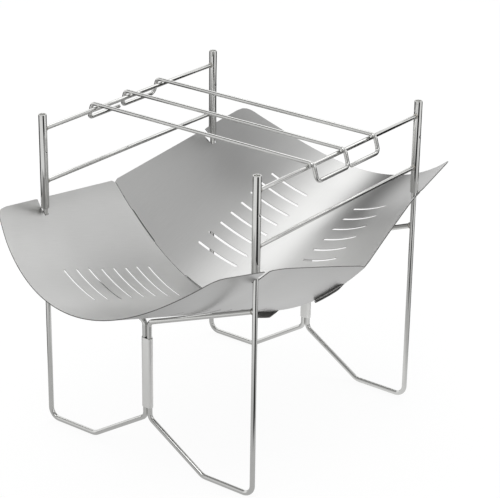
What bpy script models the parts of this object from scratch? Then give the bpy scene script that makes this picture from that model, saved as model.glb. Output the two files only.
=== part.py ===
# Folding campfire grill: a hinged wire frame, a two-sheet fire bed and a wire grid.
# X runs along the front and the back, Y from front to back, Z up from the floor.
# The origin is on the floor, midway between the four posts.

import math

import bmesh
import bpy
from mathutils import Matrix, Vector

MM = 0.001

# Posts and overall size
POST_SPACING_X = 243.0 * MM       # left post axis to right post axis
POST_SPACING_Y = 248.8 * MM       # front post axis to rear post axis
OVERALL_HEIGHT = 310.0 * MM       # floor to the top of the rack tubes

# Clearances
SEAT_GAP = 0.3 * MM               # between two pieces that touch or are welded together

# Leg wire: four bent halves, one for each post
LEG_WIRE_DIAMETER = 4.8 * MM
KNEE_SPACING = 130.6 * MM         # between the two knees of one leg frame
HINGE_FOOT_HEIGHT = 41.8 * MM     # where the slope meets the hinge wire
VEE_HEIGHT = 139.2 * MM           # lowest point of the V that carries the bed
VEE_WELD_HEIGHT = 184.8 * MM      # where the V bar is welded to its own post
FLOOR_BEND_RADIUS = 10.0 * MM
KNEE_BEND_RADIUS = 12.0 * MM
FOOT_BEND_RADIUS = 8.0 * MM
VEE_BEND_RADIUS = 6.0 * MM

# Hinge sleeve: a flattened tube round the two middle wires of a leg frame
SLEEVE_WIRE_PITCH = 5.1 * MM      # between the axes of the two wires it holds
SLEEVE_BOTTOM = 52.6 * MM
SLEEVE_LENGTH = 70.6 * MM
SLEEVE_WALL = 0.5 * MM
SLEEVE_CLEARANCE = 0.2 * MM

# Rack tubes: they turn on the leg wires and hold the rails
TUBE_DIAMETER = 7.8 * MM
TUBE_BORE = 5.6 * MM
TUBE_EDGE_CHAMFER = 0.3 * MM
CRIMP_BELOW_TOP = 35.0 * MM       # crimps that hold the tube on its wire
CRIMP_RADIUS = 1.6 * MM
CRIMP_DEPTH = 0.5 * MM
CRIMP_BUMP_RADIUS = 0.62 * MM
CRIMP_BUMP_REACH = 0.5 * MM       # how far the bump stands into the bore
GROOVE_DEPTH = 0.55 * MM          # groove in the wire that the bumps run in
GROOVE_LENGTH = 2.4 * MM
GROOVE_RAMP = 0.5 * MM
WIRE_TIP_ABOVE_CRIMP = 5.0 * MM

# Rails between the tubes of a rack
RAIL_DIAMETER = 4.0 * MM
UPPER_RAIL_BELOW_TOP = 14.4 * MM
LOWER_RAIL_BELOW_TOP = 65.4 * MM

# Grid: one wire bent into three rods, hooked over the upper rails
GRID_WIRE_DIAMETER = 3.8 * MM
GRID_ROD_PITCH = 47.4 * MM
GRID_HOOK_REACH = 5.4 * MM        # rail axis to where a hook turns down, outside the rail
GRID_HOOK_SPLAY = 4.7 * MM        # how much further out the lower run of a hook lies
GRID_HOOK_DROP = 15.4 * MM        # rod axis down to the lower run of a hook
GRID_BEND_RADIUS = 5.0 * MM
GRID_TAIL_GAP = 2.0 * MM          # free end of a tail to the wire beside it
GRID_FORWARD = 3.4 * MM           # the middle rod lies this far in front of the middle

# Fire bed: two equal sheets, each bent to a trough that slopes down to the joint
SHEET_THICKNESS = 0.8 * MM
SHEET_SLOPE = math.radians(17.5)
TROUGH_HALF_WIDTH = 145.9 * MM    # at the joint, measured level
TROUGH_DEPTH = 91.7 * MM          # at the joint, measured upright
OPENED_CURVE_SHARE = 0.747        # at the joint the right half curves up less, by this share
SHEET_LENGTH = 235.0 * MM         # flat, along the middle
OUTER_HALF_WIDTH = 143.9 * MM     # flat, at the outer corners
OUTER_EDGE_BOW = 23.0 * MM        # the middle of the outer edge past its corners
OUTER_CORNER_RADIUS = 17.0 * MM
INNER_CORNER_RADIUS = 3.0 * MM
NOTCH_CLEARANCE = 0.8 * MM        # each side of the leg wire

# Air slits, in the flat sheet
SLIT_COUNT = 8
SLIT_WIDTH = 2.8 * MM
SLIT_PITCH = 17.7 * MM
SLIT_INNER_END = 25.9 * MM        # from the middle of the sheet
SLIT_OUTER_END = 75.4 * MM
SLIT_FIRST = 47.0 * MM            # from the lowest point of the joint to the first slit

# Tongues of one sheet that hook under the other
TONGUE_LENGTH = 12.0 * MM
TONGUE_CORNER_RADIUS = 4.5 * MM
SMALL_TONGUE_CENTRE = 44.7 * MM
SMALL_TONGUE_WIDTH = 25.5 * MM
LARGE_TONGUE_CENTRE = 124.0 * MM
LARGE_TONGUE_WIDTH = 37.7 * MM
RELIEF_DEPTH = 2.8 * MM           # room in the other sheet for a tongue to pass
RELIEF_SIDE_CLEARANCE = 0.8 * MM

# Fineness of the facets
BEND_STEP = math.radians(18)
STRIP_COUNT = 44                  # flat strips across one bent sheet
CROSS_CUT = 28.0 * MM             # length of the facets where the sheet opens

post_x = POST_SPACING_X / 2
post_y = POST_SPACING_Y / 2
wire_radius = LEG_WIRE_DIAMETER / 2
tube_radius = TUBE_DIAMETER / 2
rail_radius = RAIL_DIAMETER / 2
grid_radius = GRID_WIRE_DIAMETER / 2
hinge_x = SLEEVE_WIRE_PITCH / 2
half_thickness = SHEET_THICKNESS / 2
crimp_height = OVERALL_HEIGHT - CRIMP_BELOW_TOP
upper_rail_height = OVERALL_HEIGHT - UPPER_RAIL_BELOW_TOP
lower_rail_height = OVERALL_HEIGHT - LOWER_RAIL_BELOW_TOP

model = bpy.data.collections.new("campfire_grill")
cutters = bpy.data.collections.new("cutters")


def clear_scene():
    for old in list(bpy.data.objects):
        bpy.data.objects.remove(old, do_unlink=True)
    for group in (model, cutters):
        bpy.context.scene.collection.children.link(group)


def steel(name, shade, roughness):
    """A stainless steel of one shade and polish."""
    material = bpy.data.materials.new(name)
    material.use_nodes = True
    shader = material.node_tree.nodes["Principled BSDF"]
    shader.inputs["Base Color"].default_value = (shade, shade, shade * 0.985, 1.0)
    shader.inputs["Metallic"].default_value = 1.0
    shader.inputs["Roughness"].default_value = roughness
    material.diffuse_color = (shade, shade, shade, 1.0)
    return material


def add_object(name, mesh, material, location=(0, 0, 0), parent=None):
    part = bpy.data.objects.new(name, mesh)
    model.objects.link(part)
    if material is not None:
        mesh.materials.clear()
        mesh.materials.append(material)
    if parent is not None:
        part.parent = parent
        location = Vector(location) - parent.location
    part.location = location
    return part


def add_pivot(name, location):
    """An empty on a joint's axis, which carries the pieces that turn about it."""
    pivot = bpy.data.objects.new(name, None)
    pivot.empty_display_size = 0.02
    model.objects.link(pivot)
    pivot.location = location
    return pivot


def add_cutter(name, mesh, location):
    cutter = bpy.data.objects.new(name, mesh)
    cutters.objects.link(cutter)
    cutter.location = location
    cutter.hide_render = True
    cutter.display_type = "WIRE"
    return cutter


def add_boolean(part, cutter, operation, joins_itself=False):
    boolean = part.modifiers.new(cutter.name, "BOOLEAN")
    boolean.object = cutter
    boolean.operation = operation
    boolean.solver = "EXACT"
    boolean.use_self = joins_itself


def smooth(mesh, angle=40.0):
    mesh.shade_smooth()
    mesh.set_sharp_from_angle(angle=math.radians(angle))


def rounded(corners, closed=False):
    """Points along straight runs whose corners (point, radius) are rounded by arcs."""
    points = []
    last = len(corners) - 1
    for index, (corner, radius) in enumerate(corners):
        at_an_end = not closed and index in (0, last)
        if radius == 0 or at_an_end:
            points.append(corner.copy())
            continue
        back = (corners[index - 1][0] - corner).normalized()
        ahead = (corners[(index + 1) % len(corners)][0] - corner).normalized()
        turn = math.pi - back.angle(ahead)
        reach = radius * math.tan(turn / 2)
        centre = corner + (back + ahead).normalized() * (radius / math.cos(turn / 2))
        first_spoke = corner + back * reach - centre
        last_spoke = corner + ahead * reach - centre
        steps = max(2, math.ceil(turn / BEND_STEP))
        for step in range(steps + 1):
            points.append(centre + first_spoke.slerp(last_spoke, step / steps) * radius)
    return points


def mesh_from_curve(curve):
    """The curve's surface as one closed mesh, its caps welded to its sides."""
    holder = bpy.data.objects.new("curve_holder", curve)
    bpy.context.scene.collection.objects.link(holder)
    bpy.context.view_layer.update()
    evaluated = holder.evaluated_get(bpy.context.evaluated_depsgraph_get())
    mesh = bpy.data.meshes.new_from_object(evaluated)
    bpy.data.objects.remove(holder, do_unlink=True)
    work = bmesh.new()
    work.from_mesh(mesh)
    bmesh.ops.remove_doubles(work, verts=work.verts, dist=1e-6)
    bmesh.ops.recalc_face_normals(work, faces=work.faces)
    work.to_mesh(mesh)
    work.free()
    return mesh


def wire_mesh(name, points, radius, sides_level, thin=None):
    """A round wire along the points, a flat side down; thin narrows the points it lists."""
    half_side = math.pi / (4 + 2 * sides_level)
    curve = bpy.data.curves.new(name, "CURVE")
    curve.dimensions = "3D"
    curve.bevel_depth = radius / math.cos(half_side)
    curve.bevel_resolution = sides_level
    curve.use_fill_caps = True
    spline = curve.splines.new("POLY")
    spline.points.add(len(points) - 1)
    for index, point in enumerate(points):
        spline.points[index].co = (*point, 1.0)
        spline.points[index].tilt = half_side
        spline.points[index].radius = (thin or {}).get(index, 1.0)
    mesh = mesh_from_curve(curve)
    mesh.name = name
    smooth(mesh)
    return mesh


def flat_mesh(name, outlines, thickness):
    """A flat plate from closed 2D outlines; the second and later outlines are holes."""
    curve = bpy.data.curves.new(name, "CURVE")
    curve.dimensions = "2D"
    curve.fill_mode = "BOTH"
    curve.extrude = thickness / 2
    for outline in outlines:
        spline = curve.splines.new("POLY")
        spline.points.add(len(outline) - 1)
        for index, point in enumerate(outline):
            spline.points[index].co = (point[0], point[1], 0.0, 1.0)
        spline.use_cyclic_u = True
    mesh = mesh_from_curve(curve)
    mesh.name = name
    return mesh


def long_hole(centre, straight, radius, steps):
    """A slot with round ends along X: straight is the distance between the end centres."""
    points = []
    for side in (1, -1):
        for step in range(steps + 1):
            angle = math.pi * (step / steps - 0.5)
            x = side * (straight / 2 + radius * math.cos(angle))
            y = side * radius * math.sin(angle)
            points.append((centre[0] + x, centre[1] + y))
    return points


# Leg frames


def leg_half(name, side_x, side_y, origin_x, steel_finish):
    """Post, floor run, slope, hinge wire and V bar: one wire, welded to its own post."""
    plane_y = side_y * post_y
    floor_z = wire_radius
    outer_x = side_x * post_x
    inner_x = side_x * hinge_x
    tip_z = crimp_height + WIRE_TIP_ABOVE_CRIMP
    groove_ends = [crimp_height + sign * (GROOVE_LENGTH / 2 + ramp)
                   for sign, ramp in ((1, GROOVE_RAMP), (1, 0), (-1, 0), (-1, GROOVE_RAMP))]
    corners = [(Vector((outer_x, 0, tip_z)), 0)]
    corners += [(Vector((outer_x, 0, z)), 0) for z in groove_ends]
    corners += [
        (Vector((outer_x, 0, floor_z)), FLOOR_BEND_RADIUS),
        (Vector((side_x * KNEE_SPACING / 2, 0, floor_z)), KNEE_BEND_RADIUS),
        (Vector((inner_x, 0, HINGE_FOOT_HEIGHT)), FOOT_BEND_RADIUS),
        (Vector((inner_x, 0, VEE_HEIGHT)), VEE_BEND_RADIUS),
        (Vector((outer_x, 0, VEE_WELD_HEIGHT)), 0),
    ]
    origin = Vector((origin_x, 0, 0))
    points = [point - origin for point in rounded(corners)]
    groove_share = 1 - GROOVE_DEPTH / wire_radius
    mesh = wire_mesh(name, points, wire_radius, 4, {2: groove_share, 3: groove_share})
    leg = add_object(name, mesh, steel_finish, (origin_x, plane_y, 0))

    bead = bmesh.new()
    bmesh.ops.create_uvsphere(bead, u_segments=12, v_segments=8, radius=wire_radius * 1.08)
    bead_mesh = bpy.data.meshes.new(name + "_weld")
    bead.to_mesh(bead_mesh)
    bead.free()
    bar_slope = (VEE_WELD_HEIGHT - VEE_HEIGHT) / (post_x - hinge_x)
    bead_x = outer_x - side_x * wire_radius
    bead_z = VEE_WELD_HEIGHT - wire_radius * bar_slope
    weld = add_cutter(name + "_weld", bead_mesh, (bead_x, plane_y, bead_z))
    add_boolean(leg, weld, "UNION", joins_itself=True)
    return leg


def hinge_sleeve(name, side_y, steel_finish):
    bore_radius = wire_radius + SLEEVE_CLEARANCE
    outer = long_hole((0, 0), SLEEVE_WIRE_PITCH, bore_radius + SLEEVE_WALL, 10)
    inner = long_hole((0, 0), SLEEVE_WIRE_PITCH, bore_radius, 10)
    mesh = flat_mesh(name, [outer, inner], SLEEVE_LENGTH)
    mesh.transform(Matrix.Translation((hinge_x, 0, 0)))
    smooth(mesh)
    middle_z = SLEEVE_BOTTOM + SLEEVE_LENGTH / 2
    return add_object(name, mesh, steel_finish, (-hinge_x, side_y * post_y, middle_z))


# Racks


def tube_profile(bottom_z):
    """The cut through one wall of the tube, down its outer side and up its bore."""
    chamfer = TUBE_EDGE_CHAMFER
    outer = tube_radius
    bore = TUBE_BORE / 2
    top = OVERALL_HEIGHT
    return [
        (outer, top - chamfer), (outer, bottom_z + chamfer), (outer - chamfer, bottom_z),
        (bore, bottom_z), (bore, top), (outer - chamfer, top),
    ]


def rack_tube(name, side_x, side_y, pivot, steel_finish):
    mesh = bpy.data.meshes.new(name)
    profile = tube_profile(tube_bottom())
    vertices = [(x, 0, z) for x, z in profile]
    edges = [(index, (index + 1) % len(profile)) for index in range(len(profile))]
    mesh.from_pydata(vertices, edges, [])
    tube = add_object(name, mesh, steel_finish, (side_x * post_x, side_y * post_y, 0), pivot)
    turn = tube.modifiers.new("turned", "SCREW")
    turn.axis = "Z"
    turn.steps = turn.render_steps = 24
    turn.use_merge_vertices = True
    turn.merge_threshold = 0.00001
    turn.use_smooth_shade = True
    for facing in (-1, 1):
        dent = bmesh.new()
        bmesh.ops.create_uvsphere(dent, u_segments=12, v_segments=8, radius=CRIMP_RADIUS)
        dent_mesh = bpy.data.meshes.new(name + "_dent")
        dent.to_mesh(dent_mesh)
        dent.free()
        dent_x = side_x * post_x + facing * (tube_radius + CRIMP_RADIUS - CRIMP_DEPTH)
        place = (dent_x, side_y * post_y, crimp_height)
        side_name = name + ("_outer" if facing > 0 else "_inner")
        add_boolean(tube, add_cutter(side_name + "_dent", dent_mesh, place), "DIFFERENCE")
        bump = bmesh.new()
        bmesh.ops.create_uvsphere(bump, u_segments=10, v_segments=7, radius=CRIMP_BUMP_RADIUS)
        bump_mesh = bpy.data.meshes.new(name + "_bump")
        bump.to_mesh(bump_mesh)
        bump.free()
        bump_x = side_x * post_x + facing * (TUBE_BORE / 2 + CRIMP_BUMP_RADIUS - CRIMP_BUMP_REACH)
        place = (bump_x, side_y * post_y, crimp_height)
        add_boolean(tube, add_cutter(side_name + "_bump", bump_mesh, place), "UNION")
    return tube


def rack_rail(name, side_x, height, pivot, steel_finish):
    reach = post_y - tube_radius - SEAT_GAP
    points = [Vector((0, -reach, 0)), Vector((0, reach, 0))]
    mesh = wire_mesh(name, points, rail_radius, 4)
    return add_object(name, mesh, steel_finish, (side_x * post_x, 0, height), pivot)


def rack(side_name, side_x, steel_finish):
    pivot = add_pivot("rack_" + side_name + "_pivot", (side_x * post_x, -post_y, 0))
    for end_name, side_y in (("front", -1), ("rear", 1)):
        rack_tube(f"tube_{end_name}_{side_name}", side_x, side_y, pivot, steel_finish)
    for rail_name, height in (("upper", upper_rail_height), ("lower", lower_rail_height)):
        rack_rail(f"rail_{rail_name}_{side_name}", side_x, height, pivot, steel_finish)


# Grid


def grid_wire(name, steel_finish):
    """Front, middle and rear rods in one wire, with a free tail at each end."""
    hook_x = post_x + GRID_HOOK_REACH
    low_x = hook_x + GRID_HOOK_SPLAY
    pitch = GRID_ROD_PITCH
    drop = -GRID_HOOK_DROP
    tail_y = GRID_WIRE_DIAMETER + GRID_TAIL_GAP - grid_radius
    bend = GRID_BEND_RADIUS
    stations = [
        (-low_x, -tail_y, drop), (-low_x, -pitch, drop), (-hook_x, -pitch, 0),
        (hook_x, -pitch, 0), (low_x, -pitch, drop), (low_x, 0, drop), (hook_x, 0, 0),
        (-hook_x, 0, 0), (-low_x, 0, drop), (-low_x, pitch, drop), (-hook_x, pitch, 0),
        (hook_x, pitch, 0), (low_x, pitch, drop), (low_x, tail_y, drop),
    ]
    points = rounded([(Vector(station), bend) for station in stations])
    mesh = wire_mesh(name, points, grid_radius, 2)
    height = upper_rail_height + rail_radius + SEAT_GAP + grid_radius
    return add_object(name, mesh, steel_finish, (0, -GRID_FORWARD, height))


# Fire bed

trough_curve = TROUGH_DEPTH / TROUGH_HALF_WIDTH ** 2      # upright rise is this times x squared
square_curve = trough_curve * math.cos(SHEET_SLOPE)       # the same, square to the sheet's axis


def arc_length(x, curve=square_curve):
    """Length along the bent sheet from its middle to x."""
    slope = 2 * curve * x
    return x * math.sqrt(1 + slope * slope) / 2 + math.asinh(slope) / (4 * curve)


def level_x(length, curve=square_curve):
    """The x that lies at this length along the bent sheet."""
    x = length
    for _ in range(12):
        x -= (arc_length(x, curve) - length) / math.sqrt(1 + (2 * curve * x) ** 2)
    return x


def section_curve(u, v, opened):
    """The sheet's curve at this place; its opened half flattens from the posts to the joint."""
    if u * opened <= 0:
        return square_curve
    to_post = min(1.0, max(0.0, v * math.cos(SHEET_SLOPE) / post_y))
    return square_curve * (1 - (1 - OPENED_CURVE_SHARE) * (1 - to_post) ** 2)


def bed_bottom_at_posts():
    """Height of the trough's middle over the leg frames, where the V bars carry it."""
    bar_slope = (VEE_WELD_HEIGHT - VEE_HEIGHT) / (post_x - hinge_x)
    touch_x = bar_slope / (2 * trough_curve)
    bar_z = VEE_HEIGHT + bar_slope * (touch_x - hinge_x)
    steepness = math.sqrt(1 + bar_slope ** 2 + math.tan(SHEET_SLOPE) ** 2)
    offset = (wire_radius + SEAT_GAP + half_thickness) * steepness
    return bar_z + offset - trough_curve * touch_x ** 2


def joint_bottom():
    """Height of the trough's middle at the joint of the two sheets."""
    return bed_bottom_at_posts() - post_y * math.tan(SHEET_SLOPE)


def tube_bottom():
    """The rack tubes end just above the sheet, and so hold it down."""
    slope_x = 2 * trough_curve * post_x
    slope_y = math.tan(SHEET_SLOPE)
    uphill = math.hypot(slope_x, slope_y)
    x = post_x + tube_radius * slope_x / uphill
    y = post_y + tube_radius * slope_y / uphill
    middle_surface = joint_bottom() + slope_y * y + trough_curve * x * x
    steepness = math.sqrt(1 + slope_y ** 2 + (2 * trough_curve * x) ** 2)
    return middle_surface + half_thickness * steepness + SEAT_GAP


def joint_edge(u, opened):
    """Flat distance of the sheet's inner edge, which closes on the other sheet when bent."""
    setback = (SEAT_GAP / 2 + half_thickness * math.sin(SHEET_SLOPE)) / math.cos(SHEET_SLOPE)
    length = setback
    for _ in range(12):
        curve = section_curve(u, length, opened)
        length = curve * level_x(u, curve) ** 2 * math.tan(SHEET_SLOPE) + setback
    return length


def post_in_flat_sheet():
    """Where a post's axis meets the flat sheet."""
    rise = square_curve * post_x ** 2
    length = (post_y + rise * math.sin(SHEET_SLOPE)) / math.cos(SHEET_SLOPE)
    return arc_length(post_x), length


def rim_u(length, side, opened):
    """Half width of the flat sheet at this distance from the joint."""
    inner_u = arc_length(TROUGH_HALF_WIDTH)
    inner_v = joint_edge(side * inner_u, opened)
    outer_v = SHEET_LENGTH - OUTER_EDGE_BOW
    share = (length - inner_v) / (outer_v - inner_v)
    return inner_u + (OUTER_HALF_WIDTH - inner_u) * share


def tongue_sides():
    for centre, width in ((SMALL_TONGUE_CENTRE, SMALL_TONGUE_WIDTH),
                          (LARGE_TONGUE_CENTRE, LARGE_TONGUE_WIDTH)):
        yield centre - width / 2, centre + width / 2


def inner_edge_corners(opened):
    """The joint edge from left to right: tongues on the left half, reliefs on the right."""
    half = arc_length(TROUGH_HALF_WIDTH)
    strip = 2 * half / STRIP_COUNT
    corners = []
    breaks = []
    for low, high in tongue_sides():
        root = [(-high, 0, TONGUE_CORNER_RADIUS / 3), (-high, -TONGUE_LENGTH, TONGUE_CORNER_RADIUS),
                (-low, -TONGUE_LENGTH, TONGUE_CORNER_RADIUS), (-low, 0, TONGUE_CORNER_RADIUS / 3)]
        breaks.append((-high, -low, root))
        low -= RELIEF_SIDE_CLEARANCE
        high += RELIEF_SIDE_CLEARANCE
        step = [(low, 0, 0), (low, RELIEF_DEPTH, 0), (high, RELIEF_DEPTH, 0), (high, 0, 0)]
        breaks.append((low, high, step))
    breaks.sort()
    u = -half
    for low, high, shape in breaks + [(half, half, [])]:
        while u < low - strip / 2:
            radius = INNER_CORNER_RADIUS if u == -half else 0
            corners.append((Vector((u, joint_edge(u, opened))), radius))
            u += strip
        for shape_u, offset, radius in shape:
            edge_v = joint_edge(shape_u, opened)
            corners.append((Vector((shape_u, edge_v + offset)), radius))
        u = high + strip / 2
    corners.append((Vector((half, joint_edge(half, opened))), INNER_CORNER_RADIUS))
    return corners


def rim_corners(side, opened):
    """One rim with the notch that holds the leg wire, from the joint outwards."""
    post_u, post_v = post_in_flat_sheet()
    lean = 2 * square_curve * post_x
    end_x = post_x - wire_radius - SEAT_GAP - half_thickness * lean / math.hypot(1, lean)
    end_u = arc_length(end_x)
    half_notch = wire_radius + NOTCH_CLEARANCE
    low = post_v - half_notch
    high = post_v + half_notch
    outline = [(rim_u(low, side, opened), low, 0.8 * MM), (end_u, low, half_notch * 0.9),
               (end_u, high, half_notch * 0.9), (rim_u(high, side, opened), high, 0.8 * MM)]
    return [(Vector((side * u, v)), radius) for u, v, radius in outline]


def outer_edge_corners():
    corners = []
    steps = 16
    corner_v = SHEET_LENGTH - OUTER_EDGE_BOW
    corners.append((Vector((OUTER_HALF_WIDTH, corner_v)), OUTER_CORNER_RADIUS))
    for step in range(2, steps - 1):
        share = 1 - 2 * step / steps
        v = SHEET_LENGTH - OUTER_EDGE_BOW * share * share
        corners.append((Vector((OUTER_HALF_WIDTH * share, v)), 0))
    corners.append((Vector((-OUTER_HALF_WIDTH, corner_v)), OUTER_CORNER_RADIUS))
    return corners


def sheet_outlines(opened):
    edge = inner_edge_corners(opened) + rim_corners(1, opened) + outer_edge_corners()
    edge += list(reversed(rim_corners(-1, opened)))
    outlines = [rounded(edge, closed=True)]
    slit_middle = (SLIT_INNER_END + SLIT_OUTER_END) / 2
    straight = SLIT_OUTER_END - SLIT_INNER_END - SLIT_WIDTH
    for side in (-1, 1):
        for index in range(SLIT_COUNT):
            centre = (side * slit_middle, SLIT_FIRST + index * SLIT_PITCH)
            outlines.append(long_hole(centre, straight, SLIT_WIDTH / 2, 5))
    return outlines


def bent_place(u, v, height, opened):
    """Where a point of the flat sheet lies once the sheet is bent and set at its slope."""
    strip = 2 * arc_length(TROUGH_HALF_WIDTH) / STRIP_COUNT
    low = math.floor(u / strip + 1e-6) * strip
    curve = section_curve(low + strip / 2, v, opened)
    ends = []
    for station in (low, low + strip):
        x = level_x(station, curve)
        lean = 2 * curve * x
        stretch = math.hypot(1, lean)
        ends.append(Vector((x - height * lean / stretch, curve * x * x + height / stretch)))
    x, rise = ends[0].lerp(ends[1], (u - low) / strip)
    y = -v * math.cos(SHEET_SLOPE) + rise * math.sin(SHEET_SLOPE)
    z = v * math.sin(SHEET_SLOPE) + rise * math.cos(SHEET_SLOPE)
    return Vector((x, y, z))


def cut_into_strips(sheet):
    """Divide the flat sheet by lines along its axis, with nothing else inside its faces."""
    strip = 2 * arc_length(TROUGH_HALF_WIDTH) / STRIP_COUNT
    for index in range(-STRIP_COUNT // 2, STRIP_COUNT // 2 + 1):
        everything = sheet.verts[:] + sheet.edges[:] + sheet.faces[:]
        bmesh.ops.bisect_plane(sheet, geom=everything, dist=2e-5,
                               plane_co=(index * strip, 0, 0), plane_no=(1, 0, 0))
    inner = []
    for edge in sheet.edges:
        start, end = (vertex.co.x for vertex in edge.verts)
        along_line = abs(start - end) < 3e-5 and abs(math.remainder(start, strip)) < 3e-5
        if not along_line and all(abs(face.normal.z) > 0.9 for face in edge.link_faces):
            inner.append(edge)
    bmesh.ops.dissolve_edges(sheet, edges=inner, use_verts=True)


def cut_across(sheet, opened):
    """The opened half twists between the posts and the joint, so its strips get short facets."""
    count = math.ceil(post_in_flat_sheet()[1] / CROSS_CUT)
    for index in range(count + 1):
        faces = [face for face in sheet.faces if face.calc_center_median().x * opened > 0]
        touching = {edge for face in faces for edge in face.edges}
        corners = {vertex for face in faces for vertex in face.verts}
        bmesh.ops.bisect_plane(sheet, geom=list(corners) + list(touching) + faces, dist=2e-5,
                               plane_co=(0, index * CROSS_CUT, 0), plane_no=(0, 1, 0))
    twisted = [face for face in sheet.faces
               if face.calc_center_median().x * opened > 0 and abs(face.normal.z) > 0.9]
    bmesh.ops.triangulate(sheet, faces=twisted)


def bed_sheet_mesh(name, opened):
    """Cut flat, marked off in strips, then bent to its trough."""
    mesh = flat_mesh(name, sheet_outlines(opened), SHEET_THICKNESS)
    sheet = bmesh.new()
    sheet.from_mesh(mesh)
    cut_into_strips(sheet)
    cut_across(sheet, opened)
    for vertex in sheet.verts:
        vertex.co = bent_place(*vertex.co, opened)
    bmesh.ops.recalc_face_normals(sheet, faces=sheet.faces)
    sheet.to_mesh(mesh)
    sheet.free()
    smooth(mesh)
    return mesh


def fire_bed(steel_finish):
    """Equal sheets, the rear one turned end for end; the right side of both stands open."""
    for name, turn, opened in (("bed_sheet_front", 0, 1), ("bed_sheet_rear", math.pi, -1)):
        mesh = bed_sheet_mesh(name, opened)
        sheet = add_object(name, mesh, steel_finish, (0, 0, joint_bottom()))
        sheet.rotation_euler = (0, 0, turn)


def build():
    clear_scene()
    wire_steel = steel("polished_wire", 0.62, 0.14)
    tube_steel = steel("polished_tube", 0.66, 0.12)
    sleeve_steel = steel("pressed_sleeve", 0.70, 0.30)
    sheet_steel = steel("satin_sheet", 0.56, 0.32)
    for row_name, side_y in (("front", -1), ("rear", 1)):
        leg_half(f"leg_{row_name}_left", -1, side_y, -post_x, wire_steel)
        leg_half(f"leg_{row_name}_right", 1, side_y, hinge_x, wire_steel)
        hinge_sleeve(f"hinge_sleeve_{row_name}", side_y, sleeve_steel)
    for side_name, side_x in (("left", -1), ("right", 1)):
        rack(side_name, side_x, tube_steel)
    fire_bed(sheet_steel)
    grid_wire("grid_wire", wire_steel)


build()
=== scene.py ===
# Folding campfire grill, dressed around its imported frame.
# The steel pieces are drawn again with finer bends, lips, welds and edges,
# and get their finishes here.

import math

import bpy
from mathutils import Matrix, Vector


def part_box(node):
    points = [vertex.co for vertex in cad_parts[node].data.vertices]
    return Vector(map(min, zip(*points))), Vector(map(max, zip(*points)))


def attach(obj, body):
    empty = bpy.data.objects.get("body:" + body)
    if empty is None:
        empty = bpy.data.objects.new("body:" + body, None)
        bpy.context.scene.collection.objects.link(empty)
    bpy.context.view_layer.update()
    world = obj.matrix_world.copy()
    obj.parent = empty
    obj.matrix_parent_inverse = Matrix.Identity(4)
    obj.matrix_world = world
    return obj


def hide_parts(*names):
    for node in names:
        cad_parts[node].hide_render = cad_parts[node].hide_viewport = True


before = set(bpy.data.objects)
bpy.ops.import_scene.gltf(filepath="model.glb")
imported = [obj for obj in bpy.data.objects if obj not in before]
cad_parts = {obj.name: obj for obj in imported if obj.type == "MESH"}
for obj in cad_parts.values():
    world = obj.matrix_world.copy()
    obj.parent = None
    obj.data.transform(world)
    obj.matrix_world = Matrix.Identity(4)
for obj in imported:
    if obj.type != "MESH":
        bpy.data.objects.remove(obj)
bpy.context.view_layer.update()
print("frame loaded:", len(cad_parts), "pieces")

mm = 0.001
seatGap = 0.3 * mm  # between two pieces that touch


# Small helpers

def onlySelect(item):
    bpy.ops.object.select_all(action="DESELECT")
    item.select_set(True)
    bpy.context.view_layer.objects.active = item


def editMode(on):
    bpy.ops.object.mode_set(mode="EDIT" if on else "OBJECT")


def applyPlace(item):
    onlySelect(item)
    bpy.ops.object.transform_apply(location=True, rotation=True, scale=True)


def addModifier(item, kind, **settings):
    # adds one modifier, sets it and applies it at once
    onlySelect(item)
    modifier = item.modifiers.new(kind.title(), kind)
    for setting, value in settings.items():
        setattr(modifier, setting, value)
    bpy.ops.object.modifier_apply(modifier=modifier.name)


def softenEdges(item, width, segments=3, angle=55):
    addModifier(item, "BEVEL", width=width, segments=segments, limit_method="ANGLE",
                angle_limit=math.radians(angle), use_clamp_overlap=True)


def shadeSmooth(item, angle=38):
    onlySelect(item)
    bpy.ops.object.shade_smooth_by_angle(angle=math.radians(angle))


def evenShading(item):
    addModifier(item, "WEIGHTED_NORMAL", mode="FACE_AREA", weight=90, keep_sharp=True)


def copyOf(item, name, offset=(0, 0, 0), turn=0.0):
    # a copy with its own mesh, moved or turned about Z in the mesh
    twin = item.copy()
    twin.data = item.data.copy()
    twin.name = twin.data.name = name
    bpy.context.scene.collection.objects.link(twin)
    twin.data.transform(Matrix.Translation(Vector(offset)) @ Matrix.Rotation(turn, 4, "Z"))
    return twin


def mirroredCopy(item, name, axis):
    # mirrored across the YZ or the XZ plane, with its faces turned out again
    twin = copyOf(item, name)
    flip = Vector((-1, 1, 1)) if axis == "X" else Vector((1, -1, 1))
    twin.data.transform(Matrix.Diagonal((*flip, 1)))
    onlySelect(twin)
    editMode(True)
    bpy.ops.mesh.select_all(action="SELECT")
    bpy.ops.mesh.flip_normals()
    editMode(False)
    return twin


# Finishes

def fromHex(code):
    # sRGB hex to the linear values that Blender mixes in
    channels = [int(code[i:i + 2], 16) / 255 for i in (1, 3, 5)]
    return [c / 12.92 if c <= 0.04045 else ((c + 0.055) / 1.055) ** 2.4 for c in channels] + [1.0]


def addNode(tree, kind, links=None, **settings):
    # links: input name or number -> output socket; settings: node properties or input values
    node = tree.nodes.new(kind)
    for key, value in settings.items():
        if hasattr(node, key):
            setattr(node, key, value)
        else:
            node.inputs[key.replace("_", " ")].default_value = value
    for key, socket in (links or {}).items():
        tree.links.new(socket, node.inputs[key])
    return node


def newFinish(name):
    finish = bpy.data.materials.new(name)
    finish.use_nodes = True
    tree = finish.node_tree
    return finish, tree, tree.nodes["Principled BSDF"]


noiseRange = {"From_Min": 0.3, "From_Max": 0.7}  # a noise value stays near its middle


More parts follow.
